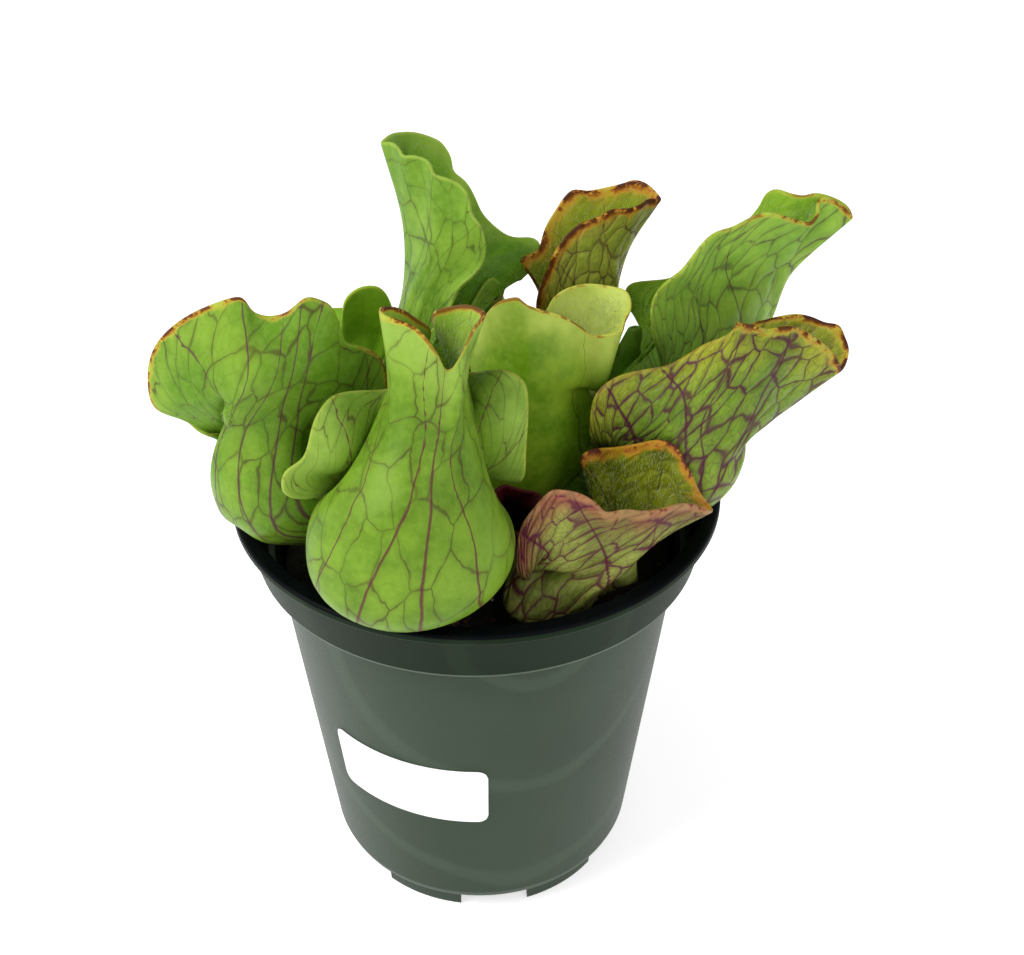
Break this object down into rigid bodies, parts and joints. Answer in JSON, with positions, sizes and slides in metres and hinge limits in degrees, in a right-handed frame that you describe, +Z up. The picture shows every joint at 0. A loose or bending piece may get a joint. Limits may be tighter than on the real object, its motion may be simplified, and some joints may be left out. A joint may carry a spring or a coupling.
{
  "type": "potted pitcher plant",
  "caption": "Potted carnivorous pitcher plant: a cluster of squat hooded pitcher leaves with waved rims, growing from potting mix in a round nursery pot with a blank label.",
  "frame": {"origin": "centre of the pot's flat underside, on the surface that the pot stands on", "axes": "+Z up the pot's axis, -Y towards the side with the blank label and the largest front pitcher, +X to the right seen from there"},
  "size_m": [0.1534, 0.1172, 0.1827],
  "materials": {
    "pot": "moulded satin green plastic",
    "label": "blank white film label",
    "potting_mix": "damp peat and bark, stands in for soil",
    "rhizome": "scaly brown rhizome",
    "pitcher_fresh_green": "smooth waxy leaf, faint veins",
    "pitcher_netted_green": "waxy leaf with a thin purple net of veins",
    "pitcher_red_netted": "waxy leaf with a strong purple net of veins",
    "pitcher_maroon": "dark maroon young leaf"
  },
  "bodies": {
    "root": {"pot_wall": "pot", "pot_rim": "pot", "pot_base": "pot", "label": "label", "potting_mix": "potting_mix", "rhizome": "rhizome", "pitcher_front": "pitcher_fresh_green", "pitcher_left": "pitcher_netted_green", "pitcher_back_left_tall": "pitcher_fresh_green", "pitcher_back_red": "pitcher_red_netted", "pitcher_right_tall": "pitcher_netted_green", "pitcher_right_netted": "pitcher_red_netted", "pitcher_centre": "pitcher_fresh_green", "pitcher_front_red": "pitcher_red_netted", "pitcher_back_left_low": "pitcher_fresh_green", "pitcher_young": "pitcher_maroon", "pitcher_back_low": "pitcher_fresh_green"}
  },
  "joints": []
}
